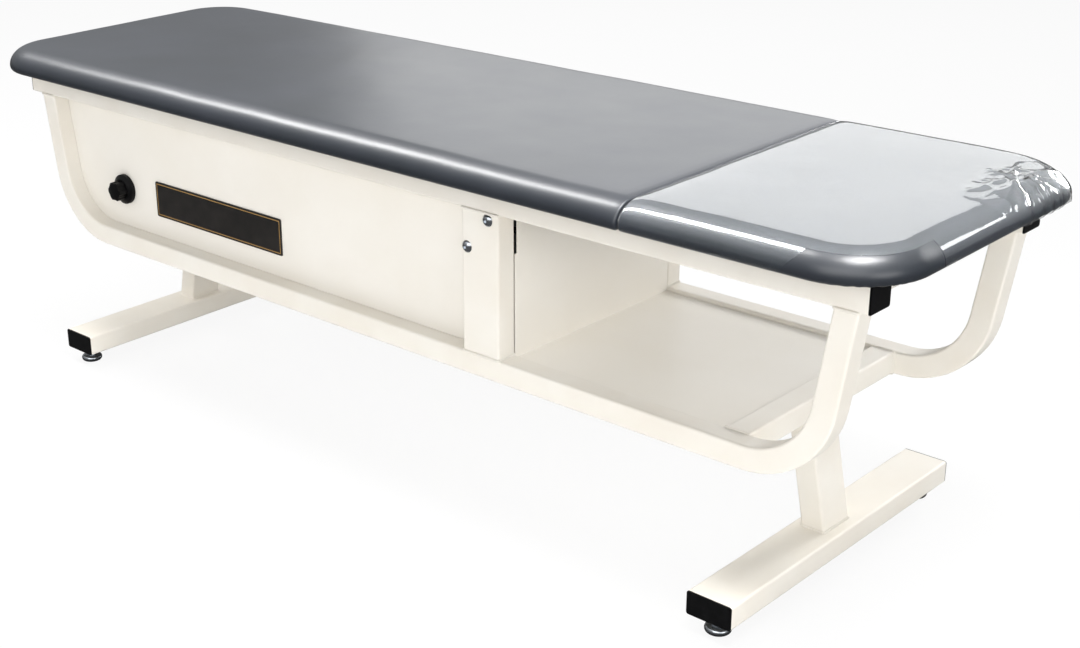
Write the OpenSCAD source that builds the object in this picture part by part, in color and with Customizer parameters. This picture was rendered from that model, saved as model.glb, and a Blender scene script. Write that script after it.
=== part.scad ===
// Roller massage table: a welded tube frame with a closed roller bay at the head end,
// an open storage bay at the foot end and an upholstered top in two cushions.
// Millimetres. X runs from head (-) to foot (+), Y from front (-) to rear (+), Z up from the floor.

/* [Padded top] */
// Length of the padded top
top_l = 1976; // [1940:2:2040]
// Width of the padded top
top_w = 604; // [580:2:640]
// Height of a cushion's edge above the underside of its board
pad_h = 41; // [36:1:50]
// Rise of a cushion's middle above its edge
pad_crown = 3; // [1:0.5:8]
// Reach of the rolled upper edge
pad_roll = 42; // [30:1:50]
// Radius of the tucked lower edge
pad_tuck = 8; // [5:1:12]
// Corner radius of the padded top
pad_corner = 115; // [90:1:140]
// Place of the seam between the two cushions
seam_x = 575; // [540:1:600]
// Gap between the two cushions at the seam
seam_gap = 3; // [2.6:0.1:5]
// Thickness of the plywood boards
board_t = 15; // [9:1:20]
// Margin of upholstery round the boards
board_inset = 34; // [25:1:45]
// Thickness of the clear foot cover
cover_t = 0.8; // [0.5:0.1:1.2]
// Length of the cover's cut-away round the front foot corner, at its hem
cover_cut_l = 155; // [130:1:260]
// How far the slanted edge of that cut-away leans towards the foot end
cover_cut_lean = 34; // [0:1:60]
// Width of the cover's cut-away round the front foot corner
cover_cut_w = 150; // [120:1:200]

/* [Frame] */
// Length of the top rails
rail_l = 1865; // [1840:1:1900]
// Side of the square top rail
rail = 50.8; // [45:0.1:54]
// Height of the top rails' underside above the floor
rail_z = 517; // [480:1:560]
// Width of the frame over its two sides
frame_w = 477; // [450:1:510]
// Wall of every tube
tube_wall = 2; // [1.5:0.1:3]
// Outer corner radius of every tube
tube_r = 4; // [3.2:0.1:5]
// Side of the square bent side tube
side_tube = 38.1; // [34:0.1:42]
// Height of the bent side tubes' underside above the floor
side_tube_z = 240; // [220:1:270]
// Half span of the side tubes where they meet the top rails
side_tube_reach = 911; // [890:1:920]
// Shift of the bent side tubes towards the foot end
side_tube_shift = 9; // [0:1:12]
// Outward slope of the uprights in degrees
upright_slope = 8.5; // [5:0.5:12]
// Centre line radius of the bends
bend_r = 127; // [110:1:150]
// Width of the middle posts
post_w = 76.2; // [60:0.1:90]
// Place of the middle posts
post_x = 265; // [230:1:300]
// Width of the lower crossbars
crossbar_w = 41; // [36:1:46]
// Place of the lower crossbars from the middle
crossbar_x = 722.5; // [710:0.5:726]
// Thickness of a leg column
column_t = 40; // [36:1:42]
// Width of a leg column
column_w = 70; // [60:1:90]
// Place of a leg column's foot from the middle
column_foot_x = 757.5; // [740:0.5:765]

/* [Feet] */
// Length of the foot bars
foot_bar_l = 611; // [580:1:640]
// Width of the foot bars
foot_bar_w = 76.2; // [70:0.1:90]
// Height of the foot bars
foot_bar_h = 38.1; // [35:0.1:50]
// Place of the foot bars from the middle
foot_bar_x = 759; // [740:1:780]
// Height of the foot bars above the floor
glide_gap = 26; // [24:1:34]
// Diameter of a levelling glide
glide_d = 40; // [34:1:46]
// Place of a glide from the end of its foot bar
glide_inset = 25; // [23:1:34]
// Diameter of a glide's stem
glide_stem_d = 10; // [8:1:12]
// Downward travel of a glide
glide_travel = 20; // [10:1:22]

/* [Panels] */
// Thickness of the steel sheets
sheet = 1.5; // [1:0.1:2]
// Depth of the side panels behind the face of the frame
panel_recess = 31; // [26:0.5:33]
// Fitting gap round the sheets
panel_gap = 0.6; // [0.3:0.1:0.9]
// Width of the folded edges
flange = 15; // [10:1:18]
// Depth of the shelf below the top of the side tubes
shelf_drop = 6; // [4:0.5:10]
// Width of the slot at the partition's front upper corner
slot_w = 5; // [4:0.5:8]
// Height of the slot at the partition's front upper corner
slot_h = 70; // [50:1:90]
// Length of the bare name plate
plate_l = 358; // [300:1:380]
// Height of the bare name plate
plate_h = 68.5; // [50:0.5:80]
// Place of the name plate's middle along the table
plate_x = -416; // [-430:1:-390]
// Height of the name plate's middle above the floor
plate_z = 354.8; // [345:0.1:370]

/* [Control] */
// Place of the knob along the table
knob_x = -692; // [-700:1:-680]
// Height of the knob above the floor
knob_z = 355; // [345:1:375]
// Diameter of the knob's skirt
knob_d = 58; // [50:1:64]
// Depth of the knob
knob_h = 32; // [28:1:38]
// Diameter of the knob's shaft
knob_shaft_d = 6; // [5:0.5:7]

/* [Roller drive] */
// Place of the carriage at rest
carriage_x = -280; // [-300:1:-260]
// Travel of the carriage each way from rest
carriage_travel = 330; // [300:1:340]
// Length of the carriage
carriage_l = 240; // [232:1:260]
// Distance between the outer faces of the carriage's side plates
carriage_w = 176; // [172:1:182]
// Diameter of a massage roller
roller_d = 84; // [76:1:88]
// Width of a massage roller
roller_w = 44; // [38:1:48]
// Gap between the two rollers of a pair
spine_gap = 40; // [36:1:44]
// Distance between the two roller axles
axle_pitch = 124; // [120:1:132]
// Diameter of the roller axles
axle_d = 12; // [10:0.5:14]
// Diameter of a carriage wheel
wheel_d = 40; // [36:1:42]
// Width of a carriage wheel
wheel_w = 20; // [16:1:21]
// Distance between the wheel axles
wheel_pitch = 190; // [180:1:196]
// Side of the square track tubes
track = 25.4; // [22:0.1:28]
// Width of the drive belt
belt_w = 16; // [12:1:18]
// Thickness of the drive belt
belt_t = 3; // [2:0.5:4]
// Pitch radius of the belt pulleys
pulley_r = 28.5; // [26:0.5:30]
// Place of the drive pulley along the table
drive_x = 195; // [190:1:205]

/* [Hidden] */
$fn = 48;
cut = 5;                        // overrun of every cut
fit = 0.06;                     // radial running clearance of a shaft in its bore
seat = 0.3;                     // clearance between pieces that move past each other
// Heights and planes that several pieces share
rail_top = rail_z + rail;
tube_top = side_tube_z + side_tube;
foot_top = glide_gap + foot_bar_h;
pan_top = tube_top - shelf_drop;
inner_w = frame_w - 2 * side_tube;          // between the bent side tubes
rail_gap_w = frame_w - 2 * rail;            // between the top rails
panel_y = frame_w / 2 - panel_recess;       // outer face of a side panel
post_face = post_x + post_w / 2;            // foot-side face of the middle posts
// Bend of the side tube, measured before the shift
bend_z = side_tube_z + side_tube / 2 + bend_r;
upright_x = side_tube_reach - side_tube / 2 / cos(upright_slope);
bend_x = upright_x - (rail_z - bend_z) * tan(upright_slope) - bend_r / cos(upright_slope);
upright_run = 2 * (rail_z - bend_z) + bend_r;
cross_share = 0.17;             // inset of the end cross tubes, as a share of their side
// Marks of the bending die on the side tubes
mark_l = 2;
mark_h = 0.05;
// Plugs in the tube ends
plug_lip = 1.5;
plug_face = 1;
plug_boss = 9;
plug_wall = 2;
plug_fit = 0.15;
// Glide and its weld nut
glide_t = 12;
glide_nut_af = 17;
glide_nut_h = 6;
weld_nut_h = 8;
stem_top = glide_gap + tube_wall + weld_nut_h + glide_travel;
// Screws in the posts
screw_d = 8;
screw_head_d = 20;
screw_head_h = 5.5;
screw_key_af = 6;
screw_l = 14;
screw_nut_af = 13;
screw_nut_h = 6.5;
screw_high_x = 16.3;
screw_high_drop = 11.3;
screw_low_x = -26.9;
screw_low_drop = 62.5;
screw_offsets = [[screw_high_x, screw_high_drop], [screw_low_x, screw_low_drop]];
// Cover and boards
cover_clear = 0.3;
cover_off = cover_t + cover_clear;
cover_hem = 5;
seam_share = 0.12;              // share of the edge roll that a seam side keeps
seam_corner = 8;
corner_steps = 8;
arc_steps = 24;
inner_corner = 14;
crown_shares = [0.2, 0.5, 1];
crown_reach_share = 0.8;        // share of the half width over which the crown rises
board_end = 8;
slot_margin = 16;
slot_side = 4;
// Plate
plate_t = 2;
plate_r = 3;
// Knob and its switch
knob_skirt_h = 7;
knob_dome_h = 12;
knob_grip_d = 38;
knob_cone_d = 42;
knob_lobes = 6;
knob_lobe_d = 11;
knob_crown_r = 60;
knob_shaft_l = 20;
knob_stand = 0.6;
bushing_d = 9.5;
bushing_l = 6;
switch_w = 50;
switch_depth = 36;
switch_r = 5;
// Gland of the mains lead
gland_x = -640;
gland_rise = 75;
gland_z = side_tube_z + gland_rise;
gland_af = 22;
gland_body_l = 6;
gland_dome_d = 20;
gland_dome_l = 12;
gland_tip_d = 14;
gland_hole_d = 8;
gland_thread_d = 16;
gland_thread_l = 12;
// Control box
case_l = 160;
case_w = 110;
case_h = 70;
case_r = 6;
case_x = -480;
case_clear = 36;
case_y = panel_y - sheet - case_clear - case_w / 2;
case_lid_t = 3;
case_lid_lip = 2;
// Carriage
plate_wall = 4;
roller_drop = 1.3;
axle_z = rail_top - roller_drop - roller_d / 2;
wheel_drop = 27.2;                              // wheel axles below the roller axles
wheel_z = axle_z - wheel_drop;
track_top = wheel_z - wheel_d / 2 - seat;
cheek_below = 36;
cheek_above = 18;
cheek_low = wheel_z - cheek_below;
cheek_high = axle_z + cheek_above;
cheek_corner = 24;
carriage_y = carriage_w / 2;
wheel_bolt_d = 8;
wheel_collar_d = 14;
wheel_collar = 4;
wheel_y = carriage_y + wheel_collar + seat;     // inner face of a wheel
track_y = wheel_y + wheel_w / 2;
spacer_d = 18;
axle_nut_af = 19;
axle_nut_h = 8;
roller_shoulder = 16;
roller_core = 3;
wheel_shoulder = 3;
bridge_l = 100;
bridge_below = 26;
bridge_under = 17;
bridge_low = wheel_z - bridge_below;
bridge_high = axle_z - bridge_under;
// Belt and pulleys
belt_drop = 8;
belt_top_z = cheek_low - belt_drop;             // middle of the belt's upper run
pulley_z = belt_top_z - pulley_r;
groove_r = pulley_r - belt_t / 2 - seat;
pulley_flange = 4.5;
pulley_flange_r = pulley_r + pulley_flange;
pulley_flange_t = 2;
pulley_side = 0.75;
pulley_half = belt_w / 2 + pulley_side + pulley_flange_t;
idler_x = -crossbar_x;
idler_axle_d = 10;
clamp_l = 50;
clamp_wall = 5;
// Motor bracket, gearbox and motor
shaft_d = 12;
bracket_clear = 2.25;
bracket_y = pulley_half + bracket_clear;
bracket_t = 4;
bracket_w = 76;
bracket_foot = 78;
bracket_head = 30;
bracket_top = pulley_z + bracket_head;
gusset_h = 60;
gear_r = 36;
gear_depth = 50;
gear_boss_d = 30;
worm_drop = 20;
worm_share = 0.62;              // depth of the worm in the gearbox
bore_share = 0.8;
shaft_share = 0.7;
worm_d = 44;
worm_l = 84;
motor_d = 68;
motor_l = 130;
motor_bell = 12;
motor_ribs = 8;
rib_depth = 2;
rib_w = 4;
// Idler bracket
idler_foot_l = 60;
idler_cheek_w = 30;
idler_slot = 20;
idler_head = 18;
idler_top = pulley_z + idler_head;
idler_clear = 1;
idler_out = pulley_half + idler_clear + bracket_t;    // outer face of the idler bracket
idler_nut_af = 16;
idler_nut_h = 7;
// Track hangers
hanger_head_gap = 196;
hanger_foot_gap = 181;
hanger_x = [carriage_x - carriage_travel - hanger_head_gap, carriage_x + carriage_travel + hanger_foot_gap];
hanger_t = 6;
hanger_z = rail_z + track;                      // middle of the hanger's cross tube

cream = "#EFE6DA";
vinyl_grey = "#6F7479";
black_plastic = "#1B1B1C";
zinc = "#B9BEC4";
rubber_black = "#2A2A2B";

// Flat rounded rectangle, w along x and h along y
module round_rect(w, h, r) {
    square([w, h - 2 * r], center = true);
    square([w - 2 * r, h], center = true);
    for (sx = [-1, 1], sy = [-1, 1])
        translate([sx * (w / 2 - r), sy * (h / 2 - r)]) circle(r);
}

// Section of a tube w by h
module tube_section(w, h) {
    difference() {
        round_rect(w, h, tube_r);
        round_rect(w - 2 * tube_wall, h - 2 * tube_wall, tube_r - tube_wall);
    }
}

// Tube along X, w across and h high, about its middle
module tube_x(l, w, h) {
    rotate([90, 0, 90]) linear_extrude(l, center = true) tube_section(w, h);
}

// Tube along Y, w along X and h high, about its middle
module tube_y(l, w, h) {
    rotate([90, 0, 0]) linear_extrude(l, center = true) tube_section(w, h);
}

// Moulded plug for a tube end w by h: its lip lies on z = 0 and its boss goes down
module tube_plug(w, h) {
    linear_extrude(plug_lip) round_rect(w, h, tube_r);
    linear_extrude(plug_lip + plug_face) round_rect(w - 2 * plug_face, h - 2 * plug_face, tube_r - plug_face);
    boss_w = w - 2 * tube_wall - 2 * plug_fit;
    boss_h = h - 2 * tube_wall - 2 * plug_fit;
    translate([0, 0, -plug_boss]) linear_extrude(plug_boss) difference() {
        round_rect(boss_w, boss_h, tube_r - tube_wall);
        round_rect(boss_w - 2 * plug_wall, boss_h - 2 * plug_wall, plug_wall / 2);
    }
}

// Hexagon across flats af
module hex(af, h) {
    cylinder(d = af / cos(30), h = h, $fn = 6);
}

// Copies its children to the head end (-1) or the foot end (1) of the bent side tubes
module at_bend(end) {
    translate([side_tube_shift, 0, 0]) mirror([end < 0 ? 1 : 0, 0, 0]) children();
}

module top_rail(side) {
    color(cream)
    translate([0, side * (frame_w - rail) / 2, rail_z + rail / 2]) tube_x(rail_l, rail, rail);
}

module rail_plugs() {
    color(black_plastic)
    for (end = [-1, 1], side = [-1, 1])
        translate([end * rail_l / 2, side * (frame_w - rail) / 2, rail_z + rail / 2])
            rotate([0, end * 90, 0]) tube_plug(rail, rail);
}

module upper_cross_tubes() {
    end_x = side_tube_reach - side_tube * cross_share;
    color(cream)
    for (x = [-end_x, post_face - sheet - side_tube / 2, end_x])
        translate([x, 0, rail_top - side_tube / 2]) tube_y(rail_gap_w, side_tube, side_tube);
}

// Section of a side tube grown by g
module side_section(g) {
    round_rect(side_tube + 2 * g, side_tube + 2 * g, tube_r + g);
}

// Solid form of a side tube: flat run, two bends and two sloping uprights, with the
// low marks of the bending die round the tube where each bend starts and ends
module side_sweep() {
    gap = mark_l / 4;
    gap_angle = asin(gap / bend_r);
    translate([side_tube_shift, 0, bend_z - bend_r]) rotate([90, 0, 90])
        linear_extrude(2 * bend_x - 2 * gap, center = true) side_section(0);
    for (end = [-1, 1]) at_bend(end) {
        translate([bend_x, 0, bend_z]) rotate([90, 0, 0]) rotate([0, 0, gap_angle - 90])
            rotate_extrude(angle = 90 - upright_slope - 2 * gap_angle)
                translate([bend_r, 0]) side_section(0);
        translate([bend_x, 0, bend_z - bend_r]) rotate([90, 0, 90])
            linear_extrude(mark_l, center = true) side_section(mark_h);
        translate([bend_x + bend_r * cos(upright_slope), 0, bend_z - bend_r * sin(upright_slope)])
            rotate([0, upright_slope, 0]) {
                linear_extrude(mark_l, center = true) side_section(mark_h);
                translate([0, 0, gap]) linear_extrude(upright_run) side_section(0);
            }
    }
}

// Band of the hollow of a side tube in x and z; its straight parts lie just inside its bends
module side_band(w) {
    reach = 2 * bend_r;
    straight = w - 2 * mark_h;
    translate([side_tube_shift, bend_z - bend_r]) square([2 * bend_x + mark_l, straight], center = true);
    for (end = [0, 1]) translate([side_tube_shift, 0]) mirror([end, 0]) {
        translate([bend_x, bend_z]) intersection() {
            difference() {
                circle(bend_r + w / 2, $fn = 96);
                circle(bend_r - w / 2, $fn = 96);
            }
            polygon([[0, 0], [0, -reach], [reach, -reach], [reach, -reach * tan(upright_slope)]]);
        }
        translate([bend_x + bend_r * cos(upright_slope), bend_z - bend_r * sin(upright_slope)])
            rotate(-upright_slope) translate([-straight / 2, -mark_l / 2]) square([straight, upright_run]);
    }
}

module side_tube(side) {
    inside = side_tube - 2 * tube_wall;
    color(cream)
    translate([0, side * (frame_w - side_tube) / 2, 0]) difference() {
        side_sweep();
        rotate([90, 0, 0]) linear_extrude(inside, center = true) side_band(inside);
        translate([-rail_l, -side_tube, rail_z]) cube([2 * rail_l, 2 * side_tube, upright_run]);
    }
}

module post(side) {
    color(cream)
    translate([post_x, side * (frame_w - side_tube) / 2, 0]) difference() {
        translate([0, 0, tube_top]) linear_extrude(rail_z - tube_top) tube_section(post_w, side_tube);
        for (p = screw_offsets)
            translate([p[0], 0, rail_z - p[1]]) rotate([-side * 90, 0, 0])
                cylinder(d = screw_d, h = side_tube);
    }
}

module post_screws() {
    ball_r = (screw_head_d * screw_head_d / 4 + screw_head_h * screw_head_h) / (2 * screw_head_h);
    color(zinc)
    for (side = [-1, 1], p = screw_offsets)
        translate([post_x + p[0], side * frame_w / 2, rail_z - p[1]]) rotate([-side * 90, 0, 0]) {
            difference() {
                intersection() {
                    cylinder(d = screw_head_d, h = screw_head_h);
                    translate([0, 0, screw_head_h - ball_r]) sphere(ball_r, $fn = 96);
                }
                translate([0, 0, screw_head_h / 2]) hex(screw_key_af, screw_head_h);
            }
            translate([0, 0, -screw_l]) cylinder(d = screw_d, h = screw_l);
            translate([0, 0, -tube_wall - screw_nut_h]) hex(screw_nut_af, screw_nut_h);
        }
}

module crossbar(end) {
    color(cream)
    translate([end * crossbar_x, 0, side_tube_z + side_tube / 2]) tube_y(inner_w, crossbar_w, side_tube);
}

module column(end) {
    rise = side_tube_z - foot_top;
    lean = atan((column_foot_x - crossbar_x) / rise);
    color(cream)
    mirror([end < 0 ? 1 : 0, 0, 0]) intersection() {
        translate([column_foot_x, 0, foot_top]) rotate([0, -lean, 0])
            linear_extrude(2 * rise, center = true) tube_section(column_t, column_w);
        translate([0, -column_w, foot_top]) cube([rail_l, 2 * column_w, rise]);
    }
}

module foot_bar(end) {
    color(cream)
    translate([end * foot_bar_x, 0, 0]) difference() {
        union() {
            translate([0, 0, glide_gap + foot_bar_h / 2]) tube_y(foot_bar_l, foot_bar_w, foot_bar_h);
            for (side = [-1, 1]) translate([0, side * (foot_bar_l / 2 - glide_inset), glide_gap + tube_wall])
                hex(glide_nut_af, weld_nut_h);
        }
        for (side = [-1, 1]) translate([0, side * (foot_bar_l / 2 - glide_inset), glide_gap - cut])
            cylinder(d = glide_stem_d + 2 * fit, h = cut + tube_wall + weld_nut_h + cut);
    }
}

module foot_bar_plugs() {
    color(black_plastic)
    for (end = [-1, 1], side = [-1, 1])
        translate([end * foot_bar_x, side * foot_bar_l / 2, glide_gap + foot_bar_h / 2])
            rotate([-side * 90, 0, 0]) tube_plug(foot_bar_w, foot_bar_h);
}

module glide(end, side) {
    rim = glide_t / 2;
    color(zinc)
    translate([end * foot_bar_x, side * (foot_bar_l / 2 - glide_inset), 0]) {
        rotate_extrude() intersection() {
            union() {
                square([glide_d / 2 - rim, glide_t]);
                translate([glide_d / 2 - rim, rim]) circle(rim);
            }
            square([glide_d, glide_t]);
        }
        translate([0, 0, glide_t]) hex(glide_nut_af, glide_nut_h);
        translate([0, 0, glide_t]) cylinder(d = glide_stem_d, h = stem_top - glide_t);
    }
}

// Outline of a side panel in x and z, fitted to the head bend and the middle post
module panel_outline() {
    r = bend_r - side_tube / 2 - panel_gap;
    cx = side_tube_shift - bend_x;
    top_z = rail_z - panel_gap;
    top_x = cx - r * cos(upright_slope) - (top_z - bend_z + r * sin(upright_slope)) * tan(upright_slope);
    right_x = post_x - post_w / 2 - panel_gap;
    polygon(concat(
        [for (i = [0 : arc_steps]) let (a = 180 + upright_slope + (90 - upright_slope) * i / arc_steps)
            [cx + r * cos(a), bend_z + r * sin(a)]],
        [[right_x, bend_z - r], [right_x, top_z], [top_x, top_z]]));
}

module side_panel(side) {
    low = tube_top + panel_gap;
    left = side_tube_shift - bend_x;
    right = post_x - post_w / 2 - panel_gap;
    color(cream)
    mirror([0, side < 0 ? 0 : 1, 0]) translate([0, -panel_y, 0]) difference() {
        union() {
            translate([0, sheet, 0]) rotate([90, 0, 0]) linear_extrude(sheet) panel_outline();
            translate([left, 0, low]) cube([right - left, flange, sheet]);
            translate([left, 0, rail_z - panel_gap - sheet]) cube([right - left, flange, sheet]);
            translate([right - sheet, 0, low]) cube([sheet, flange, rail_z - panel_gap - low]);
        }
        if (side < 0)
            translate([knob_x, -cut, knob_z]) rotate([-90, 0, 0])
                cylinder(d = bushing_d, h = 2 * cut + sheet);
        else
            translate([gland_x, -cut, gland_z]) rotate([-90, 0, 0])
                cylinder(d = gland_thread_d, h = 2 * cut + sheet);
    }
}

module head_panel() {
    r = bend_z - pan_top;
    w = inner_w - 2 * panel_gap;
    start = asin((crossbar_x + crossbar_w / 2 + panel_gap + side_tube_shift - bend_x) / r);
    color(cream)
    at_bend(-1) difference() {
        union() {
            translate([bend_x, 0, bend_z]) rotate([90, 0, 0]) rotate([0, 0, start - 90])
                rotate_extrude(angle = 90 - upright_slope - start) translate([r, -w / 2]) square([sheet, w]);
            translate([bend_x + r * cos(upright_slope), 0, bend_z - r * sin(upright_slope)])
                rotate([0, upright_slope, 0]) translate([0, -w / 2, 0]) cube([sheet, w, upright_run]);
        }
        translate([0, -frame_w, rail_z - panel_gap]) cube([2 * rail_l, 2 * frame_w, upright_run]);
    }
}

// Folded tray between the side tubes from x0 to x1, with its edges turned down
module tray(x0, x1) {
    half = inner_w / 2 - panel_gap;
    translate([x0, 0, pan_top]) rotate([90, 0, 90]) linear_extrude(x1 - x0)
        polygon([[-half, 0], [half, 0], [half, -flange], [half - sheet, -flange], [half - sheet, -sheet],
            [sheet - half, -sheet], [sheet - half, -flange], [-half, -flange]]);
}

module bottom_pan() {
    color(cream) tray(panel_gap + crossbar_w / 2 - crossbar_x, post_face - panel_gap);
}

module shelf_panel() {
    color(cream) tray(post_face, crossbar_x - crossbar_w / 2 - panel_gap);
}

module partition_panel() {
    low_half = inner_w / 2 - panel_gap;
    high_half = rail_gap_w / 2 - panel_gap;
    step_z = rail_z - panel_gap;
    top_z = rail_top - panel_gap;
    color(cream)
    translate([post_face - sheet, 0, 0]) rotate([90, 0, 90]) linear_extrude(sheet) difference() {
        polygon([[-low_half, pan_top], [low_half, pan_top], [low_half, step_z], [high_half, step_z],
            [high_half, top_z], [-high_half, top_z], [-high_half, step_z], [-low_half, step_z]]);
        translate([-low_half - cut, step_z - slot_h]) square([cut + slot_w, slot_h + cut]);
    }
}

module name_plate() {
    color("#23211F")
    translate([plate_x, -panel_y, plate_z]) rotate([90, 0, 0])
        linear_extrude(plate_t) round_rect(plate_l, plate_h, plate_r);
}

module control_knob() {
    color(black_plastic)
    translate([knob_x, -panel_y - knob_stand, knob_z]) rotate([90, 0, 0]) difference() {
        intersection() {
            union() {
                cylinder(d = knob_d, h = knob_skirt_h);
                translate([0, 0, knob_skirt_h])
                    cylinder(d1 = knob_d, d2 = knob_cone_d, h = knob_dome_h - knob_skirt_h);
                linear_extrude(knob_h) {
                    circle(d = knob_grip_d - knob_lobe_d / 2);
                    for (i = [0 : knob_lobes - 1]) rotate([0, 0, i * 360 / knob_lobes])
                        translate([(knob_grip_d - knob_lobe_d) / 2, 0]) circle(d = knob_lobe_d);
                }
            }
            translate([0, 0, knob_h - knob_crown_r]) sphere(knob_crown_r, $fn = 96);
        }
        translate([0, 0, -cut]) cylinder(d = knob_shaft_d + 2 * fit, h = cut + knob_shaft_l);
    }
}

module timer_switch() {
    color(zinc)
    translate([knob_x, -panel_y, knob_z]) rotate([90, 0, 0]) {
        translate([0, 0, -sheet - switch_depth]) linear_extrude(switch_depth)
            round_rect(switch_w, switch_w, switch_r);
        translate([0, 0, -sheet]) cylinder(d = bushing_d, h = sheet + knob_stand / 2);
        cylinder(d = knob_shaft_d, h = knob_shaft_l - seat);
    }
}

module cord_gland() {
    color(black_plastic)
    translate([gland_x, panel_y, gland_z]) rotate([-90, 0, 0]) difference() {
        union() {
            hex(gland_af, gland_body_l);
            translate([0, 0, gland_body_l])
                cylinder(d1 = gland_dome_d, d2 = gland_tip_d, h = gland_dome_l);
            translate([0, 0, -gland_thread_l]) cylinder(d = gland_thread_d, h = gland_thread_l);
            translate([0, 0, -sheet - gland_body_l]) hex(gland_af, gland_body_l);
        }
        translate([0, 0, -gland_thread_l - cut])
            cylinder(d = gland_hole_d, h = gland_thread_l + gland_body_l + gland_dome_l + 2 * cut);
    }
}

module control_box() {
    color("#8C9094")
    translate([case_x, case_y, pan_top]) {
        linear_extrude(case_h - case_lid_t) round_rect(case_l, case_w, case_r);
        translate([0, 0, case_h - case_lid_t]) linear_extrude(case_lid_t)
            round_rect(case_l + 2 * case_lid_lip, case_w + 2 * case_lid_lip, case_r + case_lid_lip);
    }
}

module motor_bracket() {
    color(zinc)
    translate([drive_x, bracket_y, 0]) difference() {
        union() {
            translate([-bracket_w / 2, 0, pan_top]) cube([bracket_w, bracket_t, bracket_top - pan_top]);
            translate([-bracket_w / 2, 0, pan_top]) cube([bracket_w, bracket_foot, bracket_t]);
            for (x = [-bracket_w / 2, bracket_w / 2 - bracket_t])
                translate([x, 0, pan_top]) rotate([90, 0, 90]) linear_extrude(bracket_t)
                    polygon([[0, 0], [bracket_foot, 0], [bracket_foot, bracket_t], [bracket_t, gusset_h],
                        [0, gusset_h]]);
        }
        translate([0, -cut, pulley_z]) rotate([-90, 0, 0])
            cylinder(d = gear_boss_d, h = bracket_t + 2 * cut);
    }
}

module gearbox() {
    face = bracket_y + bracket_t;
    worm_y = face + gear_depth * worm_share;
    color("#9DA2A6")
    difference() {
        union() {
            translate([drive_x, face, pulley_z]) rotate([-90, 0, 0]) cylinder(r = gear_r, h = gear_depth);
            translate([drive_x, bracket_y, pulley_z]) rotate([-90, 0, 0])
                cylinder(d = gear_boss_d, h = bracket_t);
            translate([drive_x - worm_l / 2, worm_y, pulley_z - worm_drop]) rotate([0, 90, 0])
                cylinder(d = worm_d, h = worm_l);
        }
        translate([drive_x, -cut, pulley_z]) rotate([-90, 0, 0])
            cylinder(d = shaft_d + 2 * fit, h = face + gear_depth * bore_share + cut);
    }
}

module drive_motor() {
    rib_pitch = (motor_l - 2 * motor_bell) / motor_ribs;
    color("#3B3E42")
    translate([drive_x - worm_l / 2, bracket_y + bracket_t + gear_depth * worm_share, pulley_z - worm_drop])
        rotate([0, -90, 0]) difference() {
            union() {
                cylinder(d = motor_d - motor_bell, h = motor_l);
                translate([0, 0, motor_bell / 2]) cylinder(d = motor_d, h = motor_l - motor_bell);
            }
            for (i = [0 : motor_ribs - 1]) translate([0, 0, motor_bell + (i + 0.5) * rib_pitch - rib_w / 2])
                difference() {
                    cylinder(d = motor_d + 2 * rib_depth, h = rib_w);
                    cylinder(d = motor_d - 2 * rib_depth, h = rib_w);
                }
        }
}

module output_shaft() {
    color(zinc)
    translate([drive_x, -pulley_half, pulley_z]) rotate([-90, 0, 0])
        cylinder(d = shaft_d, h = pulley_half + bracket_y + bracket_t + gear_depth * shaft_share);
}

// Flanged belt pulley about the Y axis, with a bore of diameter d
module pulley(d) {
    rotate([90, 0, 0]) difference() {
        union() {
            cylinder(r = groove_r, h = 2 * pulley_half, center = true);
            for (s = [-1, 1]) translate([0, 0, s * (pulley_half - pulley_flange_t / 2)])
                cylinder(r = pulley_flange_r, h = pulley_flange_t, center = true);
        }
        cylinder(d = d, h = 2 * pulley_half + 2 * cut, center = true);
    }
}

module drive_pulley() {
    color(black_plastic) translate([drive_x, 0, pulley_z]) pulley(shaft_d);
}

module idler_pulley() {
    color(black_plastic) translate([idler_x, 0, pulley_z]) pulley(idler_axle_d + 2 * fit);
}

module idler_bracket() {
    color(zinc)
    translate([idler_x, 0, 0]) {
        translate([-idler_cheek_w / 2, -idler_foot_l / 2, tube_top]) cube([idler_cheek_w, idler_foot_l, bracket_t]);
        for (side = [0, 1]) mirror([0, side, 0]) translate([0, idler_out, 0]) difference() {
            translate([-idler_cheek_w / 2, -bracket_t, tube_top])
                cube([idler_cheek_w, bracket_t, idler_top - tube_top]);
            translate([0, cut, pulley_z]) rotate([90, 0, 0]) linear_extrude(bracket_t + 2 * cut) {
                square([idler_slot - idler_axle_d, idler_axle_d], center = true);
                for (s = [-1, 1]) translate([s * (idler_slot - idler_axle_d) / 2, 0]) circle(d = idler_axle_d);
            }
        }
    }
}

module idler_axle() {
    color(zinc)
    translate([idler_x, 0, pulley_z]) rotate([90, 0, 0]) {
        cylinder(d = idler_axle_d, h = 2 * idler_out, center = true);
        for (s = [0, 1]) mirror([0, 0, s]) translate([0, 0, idler_out]) hex(idler_nut_af, idler_nut_h);
    }
}

// Closed loop of radius r round both pulleys
module belt_loop(r) {
    translate([idler_x, pulley_z]) circle(r);
    translate([drive_x, pulley_z]) circle(r);
    translate([idler_x, pulley_z - r]) square([drive_x - idler_x, 2 * r]);
}

module drive_belt() {
    color(rubber_black)
    rotate([90, 0, 0]) linear_extrude(belt_w, center = true) difference() {
        belt_loop(pulley_r + belt_t / 2);
        belt_loop(pulley_r - belt_t / 2);
    }
}

module belt_clamp() {
    w = belt_w + 2 * seat + 2 * clamp_wall;
    low = belt_top_z - belt_t / 2 - seat - clamp_wall;
    color(zinc)
    translate([carriage_x - clamp_l / 2, 0, 0]) difference() {
        translate([0, -w / 2, low]) cube([clamp_l, w, cheek_low - low]);
        translate([-cut, -belt_w / 2 - seat, belt_top_z - belt_t / 2 - seat])
            cube([clamp_l + 2 * cut, belt_w + 2 * seat, belt_t + 2 * seat]);
    }
}

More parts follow.
